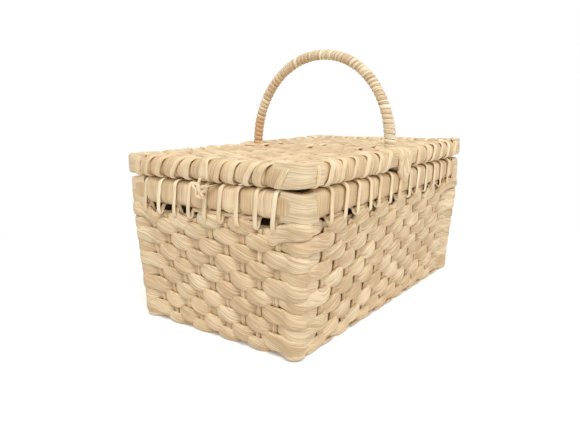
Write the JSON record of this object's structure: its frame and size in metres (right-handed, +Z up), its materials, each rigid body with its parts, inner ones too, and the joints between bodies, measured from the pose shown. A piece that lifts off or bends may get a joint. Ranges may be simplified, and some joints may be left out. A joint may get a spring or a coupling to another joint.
{
  "type": "picnic basket",
  "caption": "Rectangular woven leaf picnic basket with a lashed rim, a fixed wound hoop handle on a centre bridge, and half lids that lift on cord hinge loops.",
  "frame": {"origin": "middle of the flat base, where the basket stands", "axes": "+X along the length, towards the far lid; +Y along the width; +Z up"},
  "size_m": [0.2969, 0.1858, 0.2256],
  "materials": {
    "weaver_leaf": "dry flat leaf, satin, fine lengthwise fibres",
    "stake_leaf": "dry rolled leaf, matte",
    "bar_leaf": "leaf wrapped over a bar, satin",
    "wrap_leaf": "narrow leaf strip, satin",
    "handle_cane": "bare cane, matte",
    "lashing_cord": "pale twisted leaf cord"
  },
  "bodies": {
    "basket": {"base_and_stakes": "stake_leaf", "weaver_course_1": "weaver_leaf", "weaver_course_2": "weaver_leaf", "weaver_course_3": "weaver_leaf", "weaver_course_4": "weaver_leaf", "weaver_course_5": "weaver_leaf", "weaver_course_6": "weaver_leaf", "weaver_course_7": "weaver_leaf", "weaver_course_8": "weaver_leaf", "weaver_course_9": "weaver_leaf", "rim_bar": "bar_leaf", "rim_lashing_front": "lashing_cord", "rim_lashing_right": "lashing_cord", "rim_lashing_back": "lashing_cord", "rim_lashing_left": "lashing_cord", "bridge_bar": "bar_leaf", "handle_core": "handle_cane", "handle_wrap": "wrap_leaf", "near_hinge_loop_1": "lashing_cord", "near_hinge_loop_2": "lashing_cord", "near_hinge_loop_3": "lashing_cord", "far_hinge_loop_1": "lashing_cord", "far_hinge_loop_2": "lashing_cord", "far_hinge_loop_3": "lashing_cord", "rim_tie": "lashing_cord"},
    "near_lid": {"near_lid_frame": "bar_leaf", "near_lid_panel": "weaver_leaf", "near_lid_lashing_end": "lashing_cord", "near_lid_lashing_front": "lashing_cord", "near_lid_lashing_back": "lashing_cord", "lid_tie": "lashing_cord"},
    "far_lid": {"far_lid_frame": "bar_leaf", "far_lid_panel": "weaver_leaf", "far_lid_lashing_end": "lashing_cord", "far_lid_lashing_front": "lashing_cord", "far_lid_lashing_back": "lashing_cord"}
  },
  "joints": [
    {"name": "near_lid_hinge", "type": "hinge", "parent": "basket", "child": "near_lid", "pos_m": [-0.0065, 0, 0.1382], "axis": [0, 1, 0], "range_deg": [0, 94]},
    {"name": "far_lid_hinge", "type": "hinge", "parent": "basket", "child": "far_lid", "pos_m": [0.0165, 0, 0.1382], "axis": [0, -1, 0], "range_deg": [0, 89]}
  ]
}
